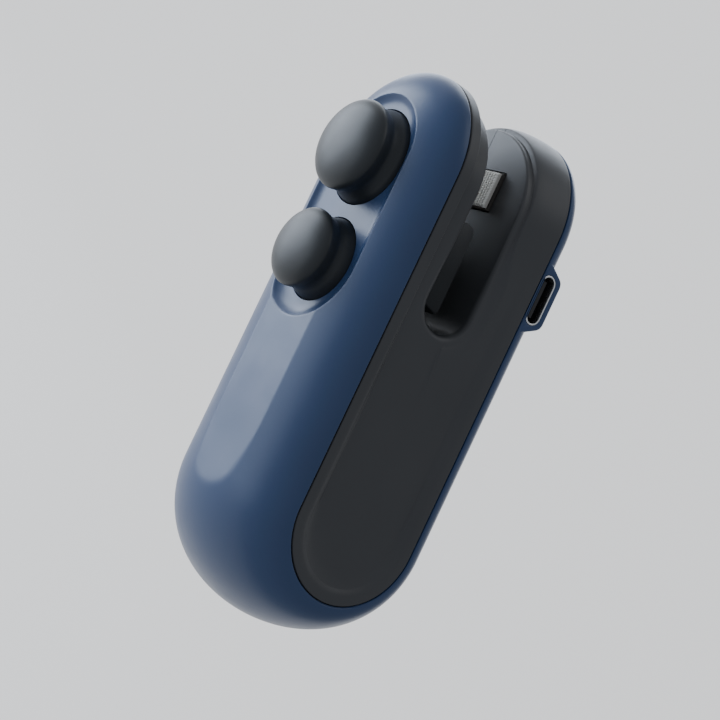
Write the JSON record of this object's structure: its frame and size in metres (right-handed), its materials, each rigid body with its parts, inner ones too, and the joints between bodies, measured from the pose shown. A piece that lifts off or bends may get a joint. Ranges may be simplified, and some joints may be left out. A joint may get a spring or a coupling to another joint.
{
  "type": "handheld bag heat sealer",
  "caption": "Pocket bag heat sealer: rounded two-armed body with a slot between the arms; a spring-loaded knob presses a pad onto a taped heater; USB-C socket on one side.",
  "frame": {"origin": "middle of the bounding box in X and Y, on the surface that the sealer lies on", "axes": "the sealer lies on its left side cover: -X towards the arm tips, -Y towards the knobs, +Z towards the side with the charging socket"},
  "size_m": [0.094, 0.0446, 0.032],
  "materials": {
    "band_plastic": "satin navy moulded plastic",
    "cover_plastic": "fine-grained charcoal moulded plastic",
    "knob_plastic": "soft-touch dark grey",
    "woven_tape": "off-white woven heat-proof tape",
    "pad_silicone": "matte translucent silicone",
    "steel": "bright",
    "socket_steel": "bright nickel-plated",
    "ceramic": "matte dark heat-proof board",
    "board": "green solder mask",
    "chip": "black moulded package",
    "cell_wrap": "metal can in green shrink wrap",
    "red_wire": "red insulation",
    "black_wire": "black insulation"
  },
  "bodies": {
    "housing": {"outer_band": "band_plastic", "right_cover": "cover_plastic", "left_cover": "cover_plastic", "cover_screw_1": "steel", "cover_screw_2": "steel", "cover_screw_3": "steel", "cover_screw_4": "steel", "sealing_spring": "steel", "power_spring": "steel", "switch_body": "chip", "switch_board": "board", "heater_base": "ceramic", "heater_ribbon": "steel", "heater_tape": "woven_tape", "bag_guide": "cover_plastic", "circuit_board": "board", "usb_shell": "socket_steel", "usb_tongue": "chip", "charge_chip": "chip", "control_chip": "chip", "power_inductor": "ceramic", "battery_cell": "cell_wrap", "cell_cradle": "cover_plastic", "heater_lead_left": "red_wire", "heater_lead_right": "red_wire", "battery_lead_positive": "red_wire", "battery_lead_negative": "black_wire", "switch_lead": "black_wire"},
    "sealing_plunger": {"sealing_knob": "knob_plastic", "press_shoe": "cover_plastic", "press_pad": "pad_silicone", "shoe_screw": "steel"},
    "power_button": {"power_knob": "knob_plastic", "switch_plunger": "chip"}
  },
  "joints": [
    {"name": "sealing_press", "type": "slide", "parent": "housing", "child": "sealing_plunger", "axis": [0, 1, 0], "range_m": [0, 0.0042], "stiffness_N_per_m": 900, "springref_m": -0.003, "deforming": ["sealing_spring"]},
    {"name": "power_press", "type": "slide", "parent": "housing", "child": "power_button", "axis": [0, 1, 0], "range_m": [0, 0.0012], "stiffness_N_per_m": 900, "springref_m": -0.002, "deforming": ["power_spring"]}
  ]
}
